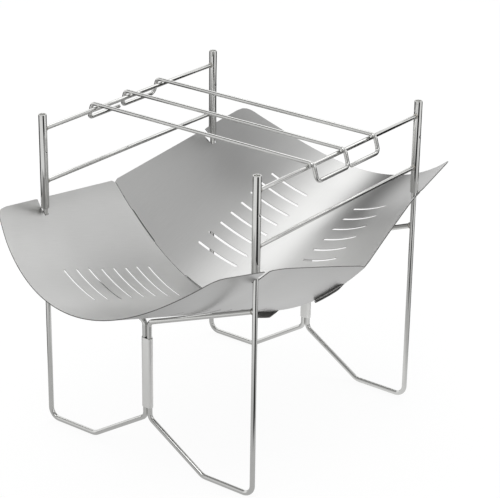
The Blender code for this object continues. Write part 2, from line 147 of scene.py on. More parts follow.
# Bed: cold rolled stainless sheet with a satin grain along the rolling direction.
# The eye gets a soft, wide reflection that slides over the bend, with the faintest lengthwise lines.
def rolledSatinStainless():
    look = {"colour": "#D0D0CF", "shade": "#C2C2C1", "roughness": 0.33,
            "grainAcross": 0.45 * mm,  # real grain is near 0.05 mm, drawn coarser so that it shows
            "grainAlong": 24 * mm, "grainRough": 0.01, "grainDepth": 0.004 * mm,
            "grainStrength": 0.2, "cloud": 55 * mm, "cloudRough": 0.015,
            "wave": 70 * mm, "waveDepth": 0.5 * mm}
    finish, tree, shader = newFinish("rolledSatinStainless")
    flat = addNode(tree, "ShaderNodeUVMap", uv_map="flatSheet")
    stretched = addNode(tree, "ShaderNodeMapping", {"Vector": flat.outputs["UV"]})
    stretched.inputs["Scale"].default_value = (1 / look["grainAcross"], 1 / look["grainAlong"], 1)
    grain = addNode(tree, "ShaderNodeTexNoise", {"Vector": stretched.outputs["Vector"]},
                    Scale=1.0, Detail=4.0, Roughness=0.6)
    place = addNode(tree, "ShaderNodeTexCoord")
    cloud = addNode(tree, "ShaderNodeTexNoise", {"Vector": place.outputs["Object"]},
                    Scale=1 / look["cloud"], Detail=3.0, Roughness=0.55)
    wave = addNode(tree, "ShaderNodeTexNoise", {"Vector": place.outputs["Object"]},
                   Scale=1 / look["wave"], Detail=1.0, Roughness=0.4)
    tint = addNode(tree, "ShaderNodeMix", {"Factor": grain.outputs["Fac"]}, data_type="RGBA")
    tint.inputs["A"].default_value = fromHex(look["shade"])
    tint.inputs["B"].default_value = fromHex(look["colour"])
    tree.links.new(tint.outputs["Result"], shader.inputs["Base Color"])
    grainRough = addNode(tree, "ShaderNodeMapRange", {"Value": grain.outputs["Fac"]},
                         To_Min=look["roughness"] - look["grainRough"],
                         To_Max=look["roughness"] + look["grainRough"], **noiseRange)
    cloudRough = addNode(tree, "ShaderNodeMapRange", {"Value": cloud.outputs["Fac"]},
                         To_Min=-look["cloudRough"], To_Max=look["cloudRough"], **noiseRange)
    rough = addNode(tree, "ShaderNodeMath", {0: grainRough.outputs["Result"],
                                             1: cloudRough.outputs["Result"]}, operation="ADD")
    tree.links.new(rough.outputs["Value"], shader.inputs["Roughness"])
    waves = addNode(tree, "ShaderNodeBump", {"Height": wave.outputs["Fac"]},
                    Strength=1.0, Distance=look["waveDepth"])
    fine = addNode(tree, "ShaderNodeBump", {"Height": grain.outputs["Fac"],
                                            "Normal": waves.outputs["Normal"]},
                   Strength=look["grainStrength"], Distance=look["grainDepth"])
    tree.links.new(fine.outputs["Normal"], shader.inputs["Normal"])
    shader.inputs["Metallic"].default_value = 1.0
    return finish


# Legs, rails, grid and rack tubes: drawn stainless, electropolished.
# The eye gets sharp dark and bright lines along the wire, hardly softened by the die marks.
def drawnPolishedWire(name="drawnPolishedWire", colour="#DADAD8", roughness=0.09):
    look = {"dieMark": 0.8 * mm,  # real marks are near 0.05 mm, drawn coarser so that they show
            "markDepth": 0.004 * mm, "markStrength": 0.1,
            "haze": 9 * mm, "hazeShade": 0.9, "smoother": 0.03, "duller": 0.05}
    finish, tree, shader = newFinish(name)
    place = addNode(tree, "ShaderNodeTexCoord")
    haze = addNode(tree, "ShaderNodeTexNoise", {"Vector": place.outputs["Object"]},
                   Scale=1 / look["haze"], Detail=4.0, Roughness=0.6)
    marks = addNode(tree, "ShaderNodeTexNoise", {"Vector": place.outputs["Object"]},
                    Scale=1 / look["dieMark"], Detail=3.0, Roughness=0.7)
    tint = addNode(tree, "ShaderNodeMix", {"Factor": haze.outputs["Fac"]}, data_type="RGBA")
    tint.inputs["A"].default_value = fromHex(colour)
    tint.inputs["B"].default_value = [c * look["hazeShade"] for c in fromHex(colour)[:3]] + [1.0]
    tree.links.new(tint.outputs["Result"], shader.inputs["Base Color"])
    rough = addNode(tree, "ShaderNodeMapRange", {"Value": haze.outputs["Fac"]},
                    To_Min=roughness - look["smoother"], To_Max=roughness + look["duller"],
                    **noiseRange)
    tree.links.new(rough.outputs["Result"], shader.inputs["Roughness"])
    bump = addNode(tree, "ShaderNodeBump", {"Height": marks.outputs["Fac"]},
                   Strength=look["markStrength"], Distance=look["markDepth"])
    tree.links.new(bump.outputs["Normal"], shader.inputs["Normal"])
    shader.inputs["Metallic"].default_value = 1.0
    return finish


# Hinge sleeves: pressed stainless strip, dull from the press tool.
# The eye gets a paler, matt face with a fine frosted texture.
def pressedDullStainless():
    look = {"colour": "#F6F6F4", "roughness": 0.52, "smoother": 0.06, "duller": 0.08,
            "frost": 0.6 * mm, "frostDepth": 0.03 * mm, "frostStrength": 0.5,
            "dimple": 3.5 * mm, "dimpleDepth": 0.12 * mm, "dimpleStrength": 0.8}
    finish, tree, shader = newFinish("pressedDullStainless")
    place = addNode(tree, "ShaderNodeTexCoord")
    frost = addNode(tree, "ShaderNodeTexNoise", {"Vector": place.outputs["Object"]},
                    Scale=1 / look["frost"], Detail=3.0, Roughness=0.65)
    dimple = addNode(tree, "ShaderNodeTexNoise", {"Vector": place.outputs["Object"]},
                     Scale=1 / look["dimple"], Detail=1.0, Roughness=0.5)
    shader.inputs["Base Color"].default_value = fromHex(look["colour"])
    rough = addNode(tree, "ShaderNodeMapRange", {"Value": frost.outputs["Fac"]},
                    To_Min=look["roughness"] - look["smoother"],
                    To_Max=look["roughness"] + look["duller"], **noiseRange)
    tree.links.new(rough.outputs["Result"], shader.inputs["Roughness"])
    press = addNode(tree, "ShaderNodeBump", {"Height": dimple.outputs["Fac"]},
                    Strength=look["dimpleStrength"], Distance=look["dimpleDepth"])
    grainy = addNode(tree, "ShaderNodeBump", {"Height": frost.outputs["Fac"],
                                              "Normal": press.outputs["Normal"]},
                     Strength=look["frostStrength"], Distance=look["frostDepth"])
    tree.links.new(grainy.outputs["Normal"], shader.inputs["Normal"])
    shader.inputs["Metallic"].default_value = 1.0
    return finish


# Weld beads: pickled stainless weld metal.
# The eye gets a small, slightly warmer and duller spot with a rippled skin.
def pickledWeld():
    look = {"colour": "#C6C5C1", "heat": "#B7B1A6", "roughness": 0.36,
            "ripple": 0.7 * mm, "rippleDepth": 0.1 * mm, "rippleStrength": 0.7}
    finish, tree, shader = newFinish("pickledWeld")
    place = addNode(tree, "ShaderNodeTexCoord")
    ripple = addNode(tree, "ShaderNodeTexNoise", {"Vector": place.outputs["Object"]},
                     Scale=1 / look["ripple"], Detail=2.0, Roughness=0.6)
    tint = addNode(tree, "ShaderNodeMix", {"Factor": ripple.outputs["Fac"]}, data_type="RGBA")
    tint.inputs["A"].default_value = fromHex(look["colour"])
    tint.inputs["B"].default_value = fromHex(look["heat"])
    tree.links.new(tint.outputs["Result"], shader.inputs["Base Color"])
    bump = addNode(tree, "ShaderNodeBump", {"Height": ripple.outputs["Fac"]},
                   Strength=look["rippleStrength"], Distance=look["rippleDepth"])
    tree.links.new(bump.outputs["Normal"], shader.inputs["Normal"])
    shader.inputs["Metallic"].default_value = 1.0
    shader.inputs["Roughness"].default_value = look["roughness"]
    return finish


# Cut edges of the bed sheets: laser cut stainless, left as cut; a much darker copy is painted shade in
# the gap where the sheets meet and in the reliefs.
# The eye gets a thin dark line round the sheets and, from the painted shade, a darker one where they
# meet.
def laserCutEdge(name="laserCutEdge", colour="#777674"):
    look = {"streak": 0.5 * mm, "smooth": 0.42, "rough": 0.6}
    finish, tree, shader = newFinish(name)
    place = addNode(tree, "ShaderNodeTexCoord")
    streak = addNode(tree, "ShaderNodeTexNoise", {"Vector": place.outputs["Object"]},
                     Scale=1 / look["streak"], Detail=2.0, Roughness=0.6)
    shader.inputs["Base Color"].default_value = fromHex(colour)
    rough = addNode(tree, "ShaderNodeMapRange", {"Value": streak.outputs["Fac"]},
                    To_Min=look["smooth"], To_Max=look["rough"], **noiseRange)
    tree.links.new(rough.outputs["Result"], shader.inputs["Roughness"])
    shader.inputs["Metallic"].default_value = 1.0
    return finish


sheetFinish = rolledSatinStainless()
edgeFinish = laserCutEdge()
# painted shade: the cut edge colour made much darker, for the gap where the sheets meet and for the
# reliefs
scaleFinish = laserCutEdge("laserCutScale", "#3A3835")
wireFinish = drawnPolishedWire()
tubeFinish = drawnPolishedWire("drawnPolishedTube", "#DCDCDA", 0.08)
sleeveFinish = pressedDullStainless()
weldFinish = pickledWeld()
print("finishes ready")


def finishPiece(item, finish, body, slot, *nodes):
    # gives a piece its finish and its body, and hides the frame pieces that it stands in for
    if finish.name not in item.data.materials:
        item.data.materials.clear()
        item.data.materials.append(finish)
    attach(item, body)
    if nodes:
        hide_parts(*nodes)


# Wire drawing

def bendAt(before, corner, after, radius):
    # where a rounded corner starts, its centre, its axis and how far it turns
    back = (before - corner).normalized()
    ahead = (after - corner).normalized()
    turn = math.pi - back.angle(ahead)
    start = corner + back * radius * math.tan(turn / 2)
    end = corner + ahead * radius * math.tan(turn / 2)
    centre = corner + (back + ahead).normalized() * (radius / math.cos(turn / 2))
    return start, end, centre, ahead.cross(-back).normalized(), turn


bending = {"sides": 24, "tip": 0.4 * mm, "degreesPerRing": 6, "fewestRings": 4,
           "mergeWithin": 0.01 * mm}


def drawWire(name, corners, radius, sides=bending["sides"], tip=bending["tip"]):
    # a ring is pushed along each straight run and spun round each bend, then both ends are closed
    here = corners[0][0]
    heading = corners[1][0] - here
    bpy.ops.object.select_all(action="DESELECT")
    bpy.ops.mesh.primitive_circle_add(vertices=sides, radius=radius, location=here,
                                      rotation=heading.to_track_quat("Z", "Y").to_euler())
    wire = bpy.context.object
    wire.name = wire.data.name = name
    applyPlace(wire)
    editMode(True)
    bpy.ops.mesh.select_all(action="SELECT")
    for i, (corner, bendRadius) in enumerate(corners[1:], 1):
        if i == len(corners) - 1 or bendRadius == 0:
            bpy.ops.mesh.extrude_edges_move(TRANSFORM_OT_translate={"value": corner - here})
            here = corner
            continue
        start, end, centre, axis, turn = bendAt(corners[i - 1][0], corner, corners[i + 1][0],
                                                bendRadius)
        bpy.ops.mesh.extrude_edges_move(TRANSFORM_OT_translate={"value": start - here})
        rings = round(math.degrees(turn) / bending["degreesPerRing"])
        bpy.ops.mesh.spin(steps=max(bending["fewestRings"], rings), angle=turn, center=centre,
                          axis=axis)
        here = end
    bpy.ops.mesh.select_all(action="SELECT")
    bpy.ops.mesh.remove_doubles(threshold=bending["mergeWithin"])
    bpy.ops.mesh.select_all(action="SELECT")
    bpy.ops.mesh.fill_holes(sides=0)
    bpy.ops.mesh.select_all(action="SELECT")
    bpy.ops.mesh.normals_make_consistent(inside=False)
    editMode(False)
    softenEdges(wire, tip)
    shadeSmooth(wire)
    return wire


# Leg frames

leg = {
    "postX": 121.5 * mm, "postY": 124.4 * mm, "radius": 2.4 * mm, "tipHeight": 280 * mm,
    "knee": 65.3 * mm,  # where the wire leaves the floor
    "hingeX": 2.55 * mm, "hingeFoot": 41.8 * mm,  # the upright wire in the sleeve
    "veeHeight": 139.2 * mm, "veeWeld": 184.8 * mm,  # the bar from the hinge up to the post
    "floorBend": 10 * mm, "kneeBend": 12 * mm, "footBend": 8 * mm, "veeBend": 6 * mm,
}
weld = {
    "legBead": 0.75 * mm, "railBead": 0.62 * mm,  # half the thickness of a bead
    "fromPost": 1.15,  # from the axis of the post to the bead on its V bar, in wire radii
    "round": 36, "across": 12, "ripple": 1.6 * mm, "rippleHeight": 0.5 * mm, "smoothTo": 80,
}


def weldBead(name, centre, along, ringRadius, beadRadius):
    # a ring of weld metal round the end of a bar, made a little uneven
    bpy.ops.object.select_all(action="DESELECT")
    bpy.ops.mesh.primitive_torus_add(major_segments=weld["round"], minor_segments=weld["across"],
                                     major_radius=ringRadius, minor_radius=beadRadius,
                                     location=centre,
                                     rotation=along.to_track_quat("Z", "Y").to_euler())
    bead = bpy.context.object
    bead.name = bead.data.name = name
    applyPlace(bead)
    ripple = bpy.data.textures.new(name + "Ripple", "CLOUDS")
    ripple.noise_scale = weld["ripple"]
    addModifier(bead, "DISPLACE", texture=ripple, strength=weld["rippleHeight"], mid_level=0.5,
                texture_coords="LOCAL")
    shadeSmooth(bead, weld["smoothTo"])
    return bead


def legCorners():
    # front right leg: from the tip in the rack tube down the post, along the floor, up the hinge
    # and along the V bar
    x, z = leg["postX"], leg["radius"]
    path = [(x, leg["tipHeight"], 0),
            (x, z, leg["floorBend"]),
            (leg["knee"], z, leg["kneeBend"]),
            (leg["hingeX"], leg["hingeFoot"], leg["footBend"]),
            (leg["hingeX"], leg["veeHeight"], leg["veeBend"]),
            (x, leg["veeWeld"], 0)]
    return [(Vector((along, -leg["postY"], height)), bend) for along, height, bend in path]


frontRight = drawWire("legWireFrontRight", legCorners(), leg["radius"])
veeBar = Vector((leg["postX"] - leg["hingeX"], 0, leg["veeWeld"] - leg["veeHeight"])).normalized()
veeTop = Vector((leg["postX"], -leg["postY"], leg["veeWeld"]))
veeEnd = veeTop - veeBar * leg["radius"] * weld["fromPost"]
beadFrontRight = weldBead("legWeldFrontRight", veeEnd, veeBar, leg["radius"], weld["legBead"])
legNames = {"FrontRight": "front_right", "FrontLeft": "front_left",
            "RearRight": "rear_right", "RearLeft": "rear_left"}
legParts = {"FrontRight": (frontRight, beadFrontRight)}
legParts["FrontLeft"] = (mirroredCopy(frontRight, "legWireFrontLeft", "X"),
                         mirroredCopy(beadFrontRight, "legWeldFrontLeft", "X"))
for side in ("Right", "Left"):
    wire, bead = legParts["Front" + side]
    legParts["Rear" + side] = (mirroredCopy(wire, "legWireRear" + side, "Y"),
                               mirroredCopy(bead, "legWeldRear" + side, "Y"))
for place, (wire, bead) in legParts.items():
    finishPiece(wire, wireFinish, legNames[place] + "_leg", "wire", "leg_" + legNames[place])
    finishPiece(bead, weldFinish, legNames[place] + "_leg", "wire")
print("legs drawn")


# Hollow pieces: rack tubes and hinge sleeves

def hollowTube(name, centre, bottom, top, outer, bore, sides, halfPitch=0.0):
    # outer wall up, lip in, bore down, and the last ring joined to the first;
    # halfPitch pulls the two halves apart, for a sleeve round two wires
    bpy.ops.object.select_all(action="DESELECT")
    bpy.ops.mesh.primitive_circle_add(vertices=sides, radius=outer, location=(0, 0, bottom),
                                      rotation=(0, 0, math.pi / sides))
    tube = bpy.context.object
    tube.name = tube.data.name = name
    applyPlace(tube)
    editMode(True)
    bpy.ops.mesh.select_all(action="SELECT")
    bpy.ops.mesh.extrude_edges_move(TRANSFORM_OT_translate={"value": (0, 0, top - bottom)})
    bpy.ops.mesh.extrude_edges_move(TRANSFORM_OT_translate={"value": (0, 0, 0)})
    share = bore / outer
    bpy.ops.transform.resize(value=(share, share, 1), center_override=(0, 0, top))
    bpy.ops.mesh.extrude_edges_move(TRANSFORM_OT_translate={"value": (0, 0, bottom - top)})
    bpy.ops.mesh.select_all(action="DESELECT")
    bpy.ops.mesh.select_non_manifold()
    bpy.ops.mesh.bridge_edge_loops()
    bpy.ops.mesh.select_all(action="SELECT")
    bpy.ops.mesh.normals_make_consistent(inside=False)
    editMode(False)
    for vertex in tube.data.vertices:
        vertex.co.x += math.copysign(halfPitch, vertex.co.x)
    tube.data.transform(Matrix.Translation(Vector(centre)))
    return tube


rack = {
    "outer": 3.9 * mm, "bore": 2.8 * mm, "top": 310 * mm, "lip": 0.35 * mm, "sides": 48,
    "crimpHeight": 275 * mm, "crimpReach": 1.9 * mm, "crimpDepth": 0.62 * mm,
    "crimpInside": 0.35 * mm, "crimpRings": 5, "crimpRingStep": 0.42 * mm,  # above and below it
    "railRadius": 2.0 * mm, "railTip": 0.2 * mm, "upperRail": 295.6 * mm, "lowerRail": 244.6 * mm,
}
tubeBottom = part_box("tube_front_left")[0][2]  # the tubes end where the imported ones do


def dentTube(tube):
    # short rings round the crimp height, then both sides pinched towards the axis
    onlySelect(tube)
    editMode(True)
    for step in range(-rack["crimpRings"], rack["crimpRings"] + 1):
        height = rack["crimpHeight"] + step * rack["crimpRingStep"]
        bpy.ops.mesh.select_all(action="SELECT")
        bpy.ops.mesh.bisect(plane_co=(0, 0, height), plane_no=(0, 0, 1), use_fill=False)
    editMode(False)
    for vertex in tube.data.vertices:
        sideways = math.hypot(vertex.co.y, vertex.co.z - rack["crimpHeight"])
        if sideways > rack["crimpReach"]:
            continue
        pinch = 0.5 + 0.5 * math.cos(math.pi * sideways / rack["crimpReach"])
        onBore = abs(vertex.co.x) < (rack["bore"] + rack["outer"]) / 2
        depth = rack["crimpInside"] if onBore else rack["crimpDepth"]
        vertex.co.x -= math.copysign(depth * pinch, vertex.co.x)


tube = hollowTube("rackTubeFrontRight", (0, 0, 0), tubeBottom, rack["top"],
                  rack["outer"], rack["bore"], rack["sides"])
softenEdges(tube, rack["lip"])
dentTube(tube)
shadeSmooth(tube)
railReach = leg["postY"] - rack["outer"] - seatGap
rail = drawWire("rail", [(Vector((0, -railReach, 0)), 0), (Vector((0, railReach, 0)), 0)],
                rack["railRadius"], tip=rack["railTip"])
railBead = weldBead("railWeld", Vector((0, -railReach, 0)), Vector((0, 1, 0)),
                    rack["railRadius"], weld["railBead"])
for sideName, x in (("Left", -leg["postX"]), ("Right", leg["postX"])):
    body = sideName.lower() + "_rack"
    for endName, y in (("Front", -leg["postY"]), ("Rear", leg["postY"])):
        twin = copyOf(tube, "rackTube" + endName + sideName, (x, y, 0))
        finishPiece(twin, tubeFinish, body, "tube", f"tube_{endName.lower()}_{sideName.lower()}")
    for levelName, z in (("Upper", rack["upperRail"]), ("Lower", rack["lowerRail"])):
        twin = copyOf(rail, "rail" + levelName + sideName, (x, 0, z))
        finishPiece(twin, wireFinish, body, "wire", f"rail_{levelName.lower()}_{sideName.lower()}")
        for endName, turn in (("Front", 0.0), ("Rear", math.pi)):
            bead = copyOf(railBead, "railWeld" + levelName + endName + sideName, (x, 0, z), turn)
            finishPiece(bead, weldFinish, body, "wire")
for spare in (tube, rail, railBead):
    bpy.data.objects.remove(spare)
print("racks built")


sleeve = {"bottom": 52.6 * mm, "length": 70.6 * mm, "wall": 0.5 * mm, "clearance": 0.2 * mm,
          "edge": 0.18 * mm, "sides": 40}
sleeveBore = leg["radius"] + sleeve["clearance"]
for endName, y in (("Front", -leg["postY"]), ("Rear", leg["postY"])):
    piece = hollowTube("hingeSleeve" + endName, (0, y, 0), sleeve["bottom"],
                       sleeve["bottom"] + sleeve["length"], sleeveBore + sleeve["wall"],
                       sleeveBore, sleeve["sides"], leg["hingeX"])
    softenEdges(piece, sleeve["edge"])
    shadeSmooth(piece)
    finishPiece(piece, sleeveFinish, endName.lower() + "_sleeve", "sleeve",
                "hinge_sleeve_" + endName.lower())
print("sleeves pressed")


# Grid: one wire bent to three rods, with dropped hooks between them and two tails

grid = {
    "radius": 1.9 * mm, "sides": 20, "bend": 5.0 * mm, "pitch": 47.4 * mm,
    "reach": 5.4 * mm,  # from the posts to the hooks
    "splay": 4.7 * mm, "drop": 15.4 * mm,  # of the hooks and tails
    "tailGap": 2.0 * mm,  # from a tail to the wire of the middle rod
    "forward": 3.4 * mm,  # of the middle of the rails
}


def gridCorners():
    # from one tail on the left, over the three rods and their hooks, to the other on the right
    hookX = leg["postX"] + grid["reach"]
    lowX = hookX + grid["splay"]
    pitch, drop = grid["pitch"], -grid["drop"]
    tail = grid["radius"] + grid["tailGap"]
    height = rack["upperRail"] + rack["railRadius"] + seatGap + grid["radius"]
    stations = [(-lowX, -tail, drop), (-lowX, -pitch, drop), (-hookX, -pitch, 0),
                (hookX, -pitch, 0), (lowX, -pitch, drop), (lowX, 0, drop), (hookX, 0, 0),
                (-hookX, 0, 0), (-lowX, 0, drop), (-lowX, pitch, drop), (-hookX, pitch, 0),
                (hookX, pitch, 0), (lowX, pitch, drop), (lowX, tail, drop)]
    shift = Vector((0, -grid["forward"], height))
    return [(Vector(station) + shift, grid["bend"]) for station in stations]


gridWire = drawWire("gridWire", gridCorners(), grid["radius"], sides=grid["sides"])
finishPiece(gridWire, wireFinish, "grid", "wire", "grid_wire")
print("grid bent")


# Fire bed sheets: cut flat, marked off in a fine net, then bent

sheet = {
    # the bend: a trough that stands more open at the joint on its right half
    "thickness": 0.8 * mm, "slope": math.radians(17.5), "halfWidth": 145.9 * mm,
    "depth": 91.7 * mm, "openedShare": 0.786, "edge": 0.13 * mm, "edgeAngle": 60,
    # the flat outline: length and half width of the outer edge, its bow and the corners
    "length": 235 * mm, "outerHalf": 143.9 * mm, "outerBow": 23 * mm, "outerCorner": 17 * mm,
    "innerCorner": 3 * mm, "notchClearance": 0.8 * mm, "notchLip": 0.8 * mm, "notchRound": 0.9,
    # the slits, two rows of them from slitIn to slitOut, and where they all lie once bent
    "slitCount": 8, "slitWidth": 3.1 * mm, "slitPitch": 17.7 * mm, "slitIn": 25.9 * mm,
    "slitOut": 75.4 * mm, "slitFirst": 47 * mm, "slitsWithinX": 85 * mm,
    "slitsFromY": 35 * mm, "slitsToY": 195 * mm,
    # the tongues, as centre, width and length, and the room for them in the other sheet
    "tongues": ((44.7 * mm, 25.5 * mm, 12 * mm), (124 * mm, 37.7 * mm, 7 * mm)),
    "tongueCorner": 4.5 * mm, "tongueRoot": 1.5 * mm, "reliefDepth": 1.1 * mm, "reliefSide": 0.35 * mm,
    # the joint: painted shade reaches over the corners, and on the front sheet into the reliefs
    "jointGap": 0.45 * mm, "paintedShadeWidth": 0.45 * mm,
    "scaleReach": {"Front": 3 * mm, "Rear": 1.2 * mm},
    # how finely it is drawn: net pitch, points along the edges, degrees of an arc per point
    "netU": 3.2 * mm, "netV": 8 * mm, "netStart": -20 * mm, "innerSteps": 60, "bowSteps": 40,
    "bowSkip": 5, "arcDegrees": 8, "slitEndSteps": 10,
    "mergeWithin": 0.001 * mm, "cutWithin": 0.002 * mm, "onLineWithin": 0.004 * mm,
}
settleSteps = 12  # rounds after which a length no longer changes
troughCurve = sheet["depth"] / sheet["halfWidth"] ** 2
squareCurve = troughCurve * math.cos(sheet["slope"])
halfThick = sheet["thickness"] / 2
sinSlope, cosSlope, tanSlope = (f(sheet["slope"]) for f in (math.sin, math.cos, math.tan))


def arcLength(x, curve=squareCurve):
    # flat length from the middle of the trough to x
    lean = 2 * curve * x
    return x * math.sqrt(1 + lean * lean) / 2 + math.asinh(lean) / (4 * curve)


def levelX(length, curve):
    # the other way round, by Newton's method
    x = length
    for _ in range(settleSteps):
        x -= (arcLength(x, curve) - length) / math.sqrt(1 + (2 * curve * x) ** 2)
    return x


def sectionCurve(u, v, opened):
    # opened is 1 or -1, for the side of the sheet that is the right half of the bed
    if u * opened <= 0:
        return squareCurve
    toPost = min(1.0, max(0.0, v * cosSlope / leg["postY"]))
    return squareCurve * (1 - (1 - sheet["openedShare"]) * (1 - toPost))


def jointEdge(u, opened):
    # flat distance of the inner edge, which meets the other sheet when bent
    setback = (sheet["jointGap"] / 2 + halfThick * sinSlope) / cosSlope
    length = setback
    for _ in range(settleSteps):
        curve = sectionCurve(u, length, opened)
        length = curve * levelX(u, curve) ** 2 * tanSlope + setback
    return length


def jointBottom():
    # height of the joint's lowest point, with both sheets seated on the V bars
    barSlope = (leg["veeWeld"] - leg["veeHeight"]) / (leg["postX"] - leg["hingeX"])
    touchX = barSlope / (2 * troughCurve)
    barZ = leg["veeHeight"] + barSlope * (touchX - leg["hingeX"])
    lift = (leg["radius"] + seatGap + halfThick) * math.sqrt(1 + barSlope ** 2 + tanSlope ** 2)
    return barZ + lift - troughCurve * touchX ** 2 - leg["postY"] * tanSlope


def roundedOutline(corners):
    # flat corners (point, radius) become short arcs
    points = []
    for i, (corner, radius) in enumerate(corners):
        if radius == 0:
            points.append(corner.copy())
            continue
        start, end, centre, _, turn = bendAt(corners[i - 1][0].to_3d(), corner.to_3d(),
                                             corners[(i + 1) % len(corners)][0].to_3d(), radius)
        first, last = start - centre, end - centre
        count = max(2, math.ceil(math.degrees(turn) / sheet["arcDegrees"]))
        for k in range(count + 1):
            points.append((centre + first.slerp(last, k / count).normalized() * radius).to_2d())
    return points


def innerEdge(opened):
    # tongues on the left half, reliefs for the other sheet's tongues on the right
    half = arcLength(sheet["halfWidth"])
    step = half / sheet["innerSteps"]
    breaks = []
    for centre, width, length in sheet["tongues"]:
        low, high = centre - width / 2, centre + width / 2
        root, bend = sheet["tongueRoot"], sheet["tongueCorner"]
        breaks.append((-high, -low, [(-high, 0, root), (-high, -length, bend),
                                     (-low, -length, bend), (-low, 0, root)]))
        low, high = low - sheet["reliefSide"], high + sheet["reliefSide"]
        deep = sheet["reliefDepth"]
        breaks.append((low, high, [(low, 0, 0), (low, deep, 0), (high, deep, 0), (high, 0, 0)]))
    corners = []
    u = -half
    for low, high, shape in sorted(breaks) + [(half, half, [])]:
        while u < low - step / 2:
            bend = sheet["innerCorner"] if u == -half else 0
            corners.append((Vector((u, jointEdge(u, opened))), bend))
            u += step
        for shapeU, offset, bend in shape:
            corners.append((Vector((shapeU, jointEdge(shapeU, opened) + offset)), bend))
        u = high + step / 2
    corners.append((Vector((half, jointEdge(half, opened))), sheet["innerCorner"]))
    return corners


def rimWithNotch(side, opened):
    # a side rim with the notch for its post; the notch ends at endU, a seat gap from the wire
    rise = squareCurve * leg["postX"] ** 2
    postV = (leg["postY"] + rise * sinSlope) / cosSlope
    lean = 2 * squareCurve * leg["postX"]
    endU = arcLength(leg["postX"] - leg["radius"] - seatGap - halfThick * lean / math.hypot(1, lean))
    halfNotch = leg["radius"] + sheet["notchClearance"]
    innerU = arcLength(sheet["halfWidth"])
    innerV = jointEdge(side * innerU, opened)
    outerV = sheet["length"] - sheet["outerBow"]

    def rimU(v):
        return innerU + (sheet["outerHalf"] - innerU) * (v - innerV) / (outerV - innerV)

    low, high = postV - halfNotch, postV + halfNotch
    lip, bend = sheet["notchLip"], halfNotch * sheet["notchRound"]
    outline = [(rimU(low), low, lip), (endU, low, bend), (endU, high, bend), (rimU(high), high, lip)]
    return [(Vector((side * u, v)), radius) for u, v, radius in outline]


def outerEdge():
    # the bowed end of the sheet, from the right corner to the left one
    cornerV = sheet["length"] - sheet["outerBow"]
    steps, skip = sheet["bowSteps"], sheet["bowSkip"]
    corners = [(Vector((sheet["outerHalf"], cornerV)), sheet["outerCorner"])]
    for k in range(skip, steps - skip + 1):
        share = 1 - 2 * k / steps
        v = sheet["length"] - sheet["outerBow"] * share * share
        corners.append((Vector((sheet["outerHalf"] * share, v)), 0))
    corners.append((Vector((-sheet["outerHalf"], cornerV)), sheet["outerCorner"]))
    return corners


def slitOutline(centreU, centreV, straight, radius):
    points = []
    steps = sheet["slitEndSteps"]
    for side in (1, -1):
        for k in range(steps + 1):
            angle = math.pi * (k / steps - 0.5)
            points.append((centreU + side * (straight / 2 + radius * math.cos(angle)),
                           centreV + side * radius * math.sin(angle)))
    return points


def flatBlank(name, opened):
    # the flat sheet with its slits, as a filled curve that is made a mesh
    edge = innerEdge(opened) + rimWithNotch(1, opened) + outerEdge()
    edge += list(reversed(rimWithNotch(-1, opened)))
    outlines = [roundedOutline(edge)]
    straight = sheet["slitOut"] - sheet["slitIn"] - sheet["slitWidth"]
    middle = (sheet["slitIn"] + sheet["slitOut"]) / 2
    for side in (-1, 1):
        for k in range(sheet["slitCount"]):
            slitV = sheet["slitFirst"] + k * sheet["slitPitch"]
            outlines.append(slitOutline(side * middle, slitV, straight, sheet["slitWidth"] / 2))
    blank = bpy.data.curves.new(name, "CURVE")
    blank.dimensions = "2D"
    blank.fill_mode = "BOTH"
    for outline in outlines:
        spline = blank.splines.new("POLY")
        spline.points.add(len(outline) - 1)
        for point, (u, v) in zip(spline.points, outline):
            point.co = (u, v, 0, 1)
        spline.use_cyclic_u = True
    piece = bpy.data.objects.new(name, blank)
    bpy.context.scene.collection.objects.link(piece)
    onlySelect(piece)
    bpy.ops.object.convert(target="MESH")
    piece = bpy.context.object
    piece.name = piece.data.name = name
    return piece


def netLines(low, high, pitch, firstAt=0.0):
    # places between low and high that lie a whole number of pitches from firstAt
    first = math.ceil((low - firstAt) / pitch)
    last = math.floor((high - firstAt) / pitch)
    return [firstAt + k * pitch for k in range(first, last + 1)]


def cutNet(piece):
    # cut along a net of lines, then drop every inner edge that isn't one of them
    halfU = arcLength(sheet["halfWidth"]) + sheet["netU"]
    linesU = netLines(-halfU, halfU, sheet["netU"])
    betweenSlits = sheet["slitFirst"] + sheet["slitPitch"] / 2
    linesV = netLines(sheet["netStart"], sheet["length"], sheet["netV"], betweenSlits)
    onlySelect(piece)
    editMode(True)
    bpy.ops.mesh.select_all(action="SELECT")
    bpy.ops.mesh.remove_doubles(threshold=sheet["mergeWithin"])
    for u in linesU:
        bpy.ops.mesh.select_all(action="SELECT")
        bpy.ops.mesh.bisect(plane_co=(u, 0, 0), plane_no=(1, 0, 0), use_fill=False,
                            threshold=sheet["cutWithin"])
    for v in linesV:
        bpy.ops.mesh.select_all(action="SELECT")
        bpy.ops.mesh.bisect(plane_co=(0, v, 0), plane_no=(0, 1, 0), use_fill=False,
                            threshold=sheet["cutWithin"])
    bpy.ops.mesh.select_mode(type="EDGE")
    bpy.ops.mesh.select_all(action="DESELECT")
    editMode(False)
    near = sheet["onLineWithin"]
    faceCount = {}
    for polygon in piece.data.polygons:
        for key in polygon.edge_keys:
            faceCount[key] = faceCount.get(key, 0) + 1
    for edge in piece.data.edges:
        a, b = (piece.data.vertices[i].co for i in edge.vertices)
        onU = abs(a.x - b.x) < near and min(abs(a.x - u) for u in linesU) < near
        onV = abs(a.y - b.y) < near and min(abs(a.y - v) for v in linesV) < near
        edge.select = not (onU or onV) and faceCount.get(edge.key, 0) == 2
    editMode(True)
    bpy.ops.mesh.dissolve_edges(use_verts=True)
    editMode(False)


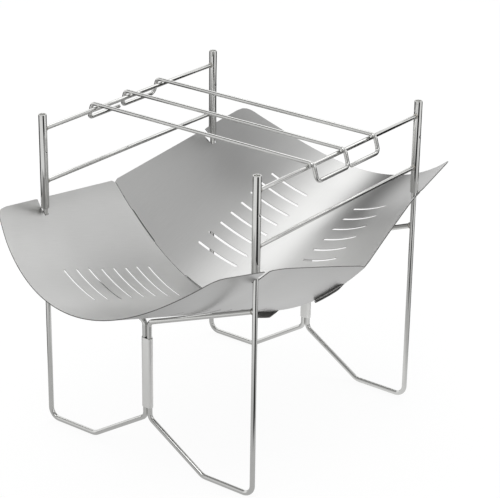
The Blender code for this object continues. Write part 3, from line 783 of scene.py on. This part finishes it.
def bendSheet(piece, opened):
    # the flat place is kept as a UV map, then each point goes to its place on the trough
    flatMap = piece.data.uv_layers.new(name="flatSheet")
    for loop in piece.data.loops:
        flat = piece.data.vertices[loop.vertex_index].co
        flatMap.data[loop.index].uv = (flat.x, flat.y)
    for vertex in piece.data.vertices:
        u, v = vertex.co.x, vertex.co.y
        curve = sectionCurve(u, v, opened)
        x = levelX(u, curve)
        rise = curve * x * x
        vertex.co = (x, -v * cosSlope + rise * sinSlope, v * sinSlope + rise * cosSlope)


def bedSheet(name, turn, opened, scaleReach):
    # cut, bent, turned to its end of the grill, given its thickness, its edge finishes and the painted
    # shade at the joint
    piece = flatBlank(name, opened)
    cutNet(piece)
    bendSheet(piece, opened)
    piece.data.transform(Matrix.Translation((0, 0, jointBottom())) @ Matrix.Rotation(turn, 4, "Z"))
    onlySelect(piece)
    editMode(True)
    bpy.ops.mesh.select_all(action="SELECT")
    bpy.ops.mesh.normals_make_consistent(inside=False)
    editMode(False)
    piece.data.materials.append(sheetFinish)
    piece.data.materials.append(edgeFinish)
    piece.data.materials.append(scaleFinish)
    addModifier(piece, "SOLIDIFY", thickness=sheet["thickness"], offset=0.0, use_even_offset=True,
                material_offset_rim=1)
    for polygon in piece.data.polygons:  # the slits are punched, so they stay bright inside
        x, y, _ = polygon.center
        if abs(x) < sheet["slitsWithinX"] and sheet["slitsFromY"] < abs(y) < sheet["slitsToY"]:
            polygon.material_index = 0
    softenEdges(piece, sheet["edge"], segments=2, angle=sheet["edgeAngle"])
    nearJoint = sheet["jointGap"] / 2 + sheet["paintedShadeWidth"]
    for polygon in piece.data.polygons:  # painted shade on the edges that meet, with their corners
        meets = all(abs(piece.data.vertices[i].co.y) < nearJoint for i in polygon.vertices)
        if meets or (polygon.material_index == 1 and abs(polygon.center.y) < scaleReach):
            polygon.material_index = 2
    shadeSmooth(piece)
    evenShading(piece)
    return piece


for endName, turn, opened in (("Front", 0.0, 1), ("Rear", math.pi, -1)):
    piece = bedSheet("bedSheet" + endName, turn, opened, sheet["scaleReach"][endName])
    finishPiece(piece, sheetFinish, "fire_bed", "sheet", "bed_sheet_" + endName.lower())
    print("bed sheet", endName.lower(), len(piece.data.polygons), "faces")


# Floor, light and camera

studio = {
    # the floor: metres, paper colour, and how much of a glow the camera sees instead of the paper
    "floorSize": 12.0, "floorDrop": 0.2 * mm, "white": "#F4F4F4", "floorGlow": 0.86, "glow": 1.05,
    # dark cards laid round the grill, seen only in reflections: azimuth from +Y and half width,
    # in degrees, then where they start, in metres, how soft their edges are, and their level
    "cards": ((120, 20), (250, 22), (22, 22), (-63, 11)),
    "cardStart": 0.26, "cardFadeIn": 0.06, "cardFade": 0.3, "cardLevel": 0.02,
    # painted shadow of the grill on the floor, seen only in reflections: grey by distance from a place
    # under the bed, in metres
    "paintedShadowFrom": (0.07, 0.09, 0.0),
    "paintedFloorShadow": ((0.06, 0.85), (0.16, 0.58), (0.42, 0.58), (0.75, 0.92)),
    # grey of the sky by the height of a direction, and how it dims towards the camera's side
    "sky": ((0.0, 0.86), (0.08, 0.92), (0.2, 1.0), (0.42, 0.98), (0.6, 0.72), (0.78, 0.6),
            (1.0, 0.6)),
    "skyStrength": 1.09, "dimTowards": (0.61, -0.79, 0.0), "dimTo": 0.38, "dimmedAt": 0.75,
    # azimuth from +Y towards +X and elevation in degrees, distance and size in metres, watts
    "lampAim": (0, 0, 0.15),
    "lamps": (("leftBox", -48, 53, 1.8, (1.0, 0.8), 3.0),
              ("topBox", -16, 68, 1.8, (0.55, 0.55), 0.6),
              ("rearBox", 3, 44, 1.8, (0.6, 0.5), 1.3),
              ("cameraBox", 165, 58, 2.0, (1.0, 0.7), 6.0),
              ("rightBox", 95, 30, 2.2, (0.5, 1.4), 4.0)),
    # the place that a flag faces, then as above: the dark streak in the bed, its dark rear left
    # corner, and a dark line along the rails and along the rods of the grid
    "flags": (("streakFlag", (0.055, 0.17, 0.18), -54, 21, 0.27, (0.16, 0.093)),
              ("cornerFlag", (-0.125, 0.13, 0.2), 53, 49, 0.26, (0.065, 0.065)),
              ("railFlag", (0, 0, 0.28), 42, 7, 1.6, (0.95, 0.5)),
              ("rodFlag", (0, 0, 0.28), -100, 53, 1.6, (0.95, 0.5))),
}


def setStops(colorRamp, stops):
    while len(colorRamp.elements) < len(stops):
        colorRamp.elements.new(0.5)
    for element, (at, level) in zip(colorRamp.elements, stops):
        element.position = at
        element.color = (level, level, level, 1.0)


def cardShare(tree, x, y):
    # 1 on a dark card and 0 beside it, from the direction of a place on the floor
    angle = addNode(tree, "ShaderNodeMath", {0: x, 1: y}, operation="ARCTAN2").outputs["Value"]
    fade = studio["cardFade"]
    total = None
    for azimuth, halfWidth in studio["cards"]:
        offset = addNode(tree, "ShaderNodeMath", {0: angle}, operation="SUBTRACT")
        offset.inputs[1].default_value = math.radians(azimuth)
        turned = addNode(tree, "ShaderNodeMath", {0: offset.outputs["Value"]}, operation="COSINE")
        card = addNode(tree, "ShaderNodeMapRange", {"Value": turned.outputs["Value"]},
                       From_Min=math.cos(math.radians(halfWidth * (1 + fade))),
                       From_Max=math.cos(math.radians(halfWidth * (1 - fade))))
        if total is None:
            total = card.outputs["Result"]
        else:
            total = addNode(tree, "ShaderNodeMath", {0: total, 1: card.outputs["Result"]},
                            operation="MAXIMUM").outputs["Value"]
    return total


# Floor: matt white paper.
# The eye gets plain white with a faint shadow, and the steel mirrors it as greys, darker in a painted
# shadow round the grill, with dark cards.
def paperWhite():
    finish, tree, shader = newFinish("paperWhite")
    shader.inputs["Base Color"].default_value = fromHex(studio["white"])
    shader.inputs["Roughness"].default_value = 0.9
    glow = addNode(tree, "ShaderNodeEmission", Strength=studio["glow"])
    rays = addNode(tree, "ShaderNodeLightPath")
    seen = addNode(tree, "ShaderNodeMath", {0: rays.outputs["Is Camera Ray"],
                                            1: rays.outputs["Is Transmission Ray"]},
                   operation="MAXIMUM")
    share = addNode(tree, "ShaderNodeMath", {0: seen.outputs["Value"]}, operation="MULTIPLY")
    share.inputs[1].default_value = studio["floorGlow"]
    both = addNode(tree, "ShaderNodeMixShader", {0: share.outputs["Value"],
                                                 1: shader.outputs["BSDF"],
                                                 2: glow.outputs["Emission"]})
    place = addNode(tree, "ShaderNodeTexCoord")
    parts = addNode(tree, "ShaderNodeSeparateXYZ", {"Vector": place.outputs["Object"]})
    away = addNode(tree, "ShaderNodeVectorMath", {0: place.outputs["Object"]}, operation="LENGTH")
    begun = addNode(tree, "ShaderNodeMapRange", {"Value": away.outputs["Value"]},
                    From_Min=studio["cardStart"],
                    From_Max=studio["cardStart"] + studio["cardFadeIn"])
    inCard = cardShare(tree, parts.outputs["X"], parts.outputs["Y"])
    card = addNode(tree, "ShaderNodeMath", {0: begun.outputs["Result"], 1: inCard},
                   operation="MULTIPLY")
    mirrored = addNode(tree, "ShaderNodeMix", {"Factor": card.outputs["Value"]}, data_type="RGBA")
    # painted shadow: the floor seen in the steel is greyer round the grill, by distance from a place
    # under the bed
    fromLit = addNode(tree, "ShaderNodeVectorMath", {0: place.outputs["Object"]},
                      operation="DISTANCE")
    fromLit.inputs[1].default_value = studio["paintedShadowFrom"]
    greys = addNode(tree, "ShaderNodeValToRGB", {"Fac": fromLit.outputs["Value"]})
    setStops(greys.color_ramp, studio["paintedFloorShadow"])
    tree.links.new(greys.outputs["Color"], mirrored.inputs["A"])
    mirrored.inputs["B"].default_value = (*[studio["cardLevel"]] * 3, 1)
    inSteel = addNode(tree, "ShaderNodeEmission", {"Color": mirrored.outputs["Result"]},
                      Strength=1.0)
    whole = addNode(tree, "ShaderNodeMixShader", {0: rays.outputs["Is Glossy Ray"],
                                                  1: both.outputs["Shader"],
                                                  2: inSteel.outputs["Emission"]})
    tree.links.new(whole.outputs["Shader"], tree.nodes["Material Output"].inputs["Surface"])
    return finish


bpy.ops.object.select_all(action="DESELECT")
bpy.ops.mesh.primitive_plane_add(size=studio["floorSize"], location=(0, 0, -studio["floorDrop"]))
floor = bpy.context.object
floor.name = "paperFloor"
applyPlace(floor)
floor.data.materials.append(paperWhite())


def studioWorld():
    # plain white behind the grill; in the steel, brightest above the horizon and greyer overhead
    world = bpy.data.worlds.new("studio")
    bpy.context.scene.world = world
    world.use_nodes = True
    tree = world.node_tree
    tree.nodes.clear()
    direction = addNode(tree, "ShaderNodeTexCoord")
    parts = addNode(tree, "ShaderNodeSeparateXYZ", {"Vector": direction.outputs["Generated"]})
    bands = addNode(tree, "ShaderNodeValToRGB", {"Fac": parts.outputs["Z"]})
    setStops(bands.color_ramp, studio["sky"])
    # the side that the photo was taken from is darker, as a studio is behind the camera
    ahead = addNode(tree, "ShaderNodeVectorMath", {0: direction.outputs["Generated"]},
                    operation="DOT_PRODUCT")
    ahead.inputs[1].default_value = studio["dimTowards"]
    dim = addNode(tree, "ShaderNodeMapRange", {"Value": ahead.outputs["Value"]},
                  From_Min=0.0, From_Max=studio["dimmedAt"], To_Min=1.0, To_Max=studio["dimTo"])
    tones = addNode(tree, "ShaderNodeVectorMath", {0: bands.outputs["Color"],
                                                   1: dim.outputs["Result"]},
                    operation="MULTIPLY")
    light = addNode(tree, "ShaderNodeBackground", {"Color": tones.outputs["Vector"]},
                    Strength=studio["skyStrength"])
    white = addNode(tree, "ShaderNodeBackground", Strength=1.0)
    white.inputs["Color"].default_value = (1, 1, 1, 1)
    rays = addNode(tree, "ShaderNodeLightPath")
    both = addNode(tree, "ShaderNodeMixShader", {0: rays.outputs["Is Camera Ray"],
                                                 1: light.outputs["Background"],
                                                 2: white.outputs["Background"]})
    output = addNode(tree, "ShaderNodeOutputWorld")
    tree.links.new(both.outputs["Shader"], output.inputs["Surface"])


studioWorld()


def outward(azimuth, elevation):
    # unit vector, azimuth from +Y towards +X
    return Vector((math.sin(math.radians(azimuth)) * math.cos(math.radians(elevation)),
                   math.cos(math.radians(azimuth)) * math.cos(math.radians(elevation)),
                   math.sin(math.radians(elevation))))


def softbox(name, azimuth, elevation, distance, size, power):
    out = outward(azimuth, elevation)
    bpy.ops.object.light_add(type="AREA", location=Vector(studio["lampAim"]) + out * distance,
                             rotation=out.to_track_quat("Z", "Y").to_euler())
    lamp = bpy.context.object
    lamp.name = lamp.data.name = name
    lamp.data.shape = "RECTANGLE"
    lamp.data.size, lamp.data.size_y = size
    lamp.data.energy = power


for lampRow in studio["lamps"]:
    softbox(*lampRow)


# Flags: black felt.
# The eye gets nothing of them but dark places in the steel.
def blackFelt():
    finish, _, shader = newFinish("blackFelt")
    shader.inputs["Base Color"].default_value = fromHex("#161616")
    shader.inputs["Roughness"].default_value = 1.0
    return finish


feltFinish = blackFelt()


def flag(name, seenFrom, azimuth, elevation, distance, size):
    # a black card on a stand, seen only in the steel
    out = outward(azimuth, elevation)
    bpy.ops.object.select_all(action="DESELECT")
    bpy.ops.mesh.primitive_plane_add(size=1.0, location=Vector(seenFrom) + out * distance,
                                     rotation=out.to_track_quat("Z", "Y").to_euler())
    card = bpy.context.object
    card.name = name
    card.scale = (*size, 1)
    applyPlace(card)
    card.data.materials.append(feltFinish)
    card.visible_camera = card.visible_diffuse = card.visible_shadow = False


for flagRow in studio["flags"]:
    flag(*flagRow)


view = {"eye": (1.0144, -1.3217, 0.8847), "aim": (0.0217, 0.0, 0.1746),  # metres
        "roll": 0.0145, "lens": 138.19, "sensor": 36}  # radians, then mm


def photoCamera():
    eye, aim = Vector(view["eye"]), Vector(view["aim"])
    forward = (aim - eye).normalized()
    right = forward.cross(Vector((0, 0, 1))).normalized()
    up = right.cross(forward)
    tiltRight = right * math.cos(view["roll"]) + up * math.sin(view["roll"])
    tiltUp = up * math.cos(view["roll"]) - right * math.sin(view["roll"])
    bpy.ops.object.camera_add()
    camera = bpy.context.object
    camera.matrix_world = Matrix((
        (tiltRight.x, tiltUp.x, -forward.x, eye.x),
        (tiltRight.y, tiltUp.y, -forward.y, eye.y),
        (tiltRight.z, tiltUp.z, -forward.z, eye.z),
        (0, 0, 0, 1)))
    camera.data.lens = view["lens"]
    camera.data.sensor_width = view["sensor"]
    camera.data.dof.use_dof = False
    bpy.context.scene.camera = camera


photoCamera()
bpy.context.scene.view_settings.view_transform = "Standard"
print("studio set")
